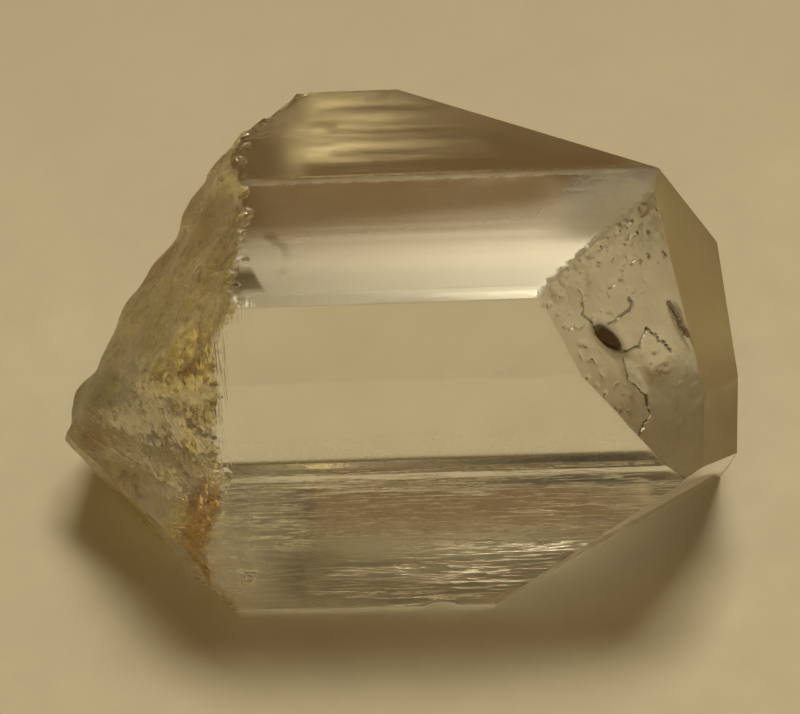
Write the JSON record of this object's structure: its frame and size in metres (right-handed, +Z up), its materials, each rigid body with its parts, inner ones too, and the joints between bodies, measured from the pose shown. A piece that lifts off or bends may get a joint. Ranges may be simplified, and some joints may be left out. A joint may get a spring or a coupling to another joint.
{
  "type": "topaz crystal",
  "caption": "Loose prismatic topaz crystal with lengthwise faces, an etched dome-faced end and a stained, broken base; lies on one prism face.",
  "frame": {"origin": "under the middle of the crystal's box, on the surface that it lies on", "axes": "+X along the crystal's long (c) axis, from the broken base to the finished end; +Z up from the prism face that it lies on; -Y is the side of the steep front wall"},
  "size_m": [0.0474, 0.0288, 0.0265],
  "materials": {
    "topaz": "clear and lustrous on the prism faces, frosted by fine etching on the finished end, rough with yellow-brown iron stain on the broken base"
  },
  "bodies": {
    "root": {"topaz_crystal": "topaz"}
  },
  "joints": []
}
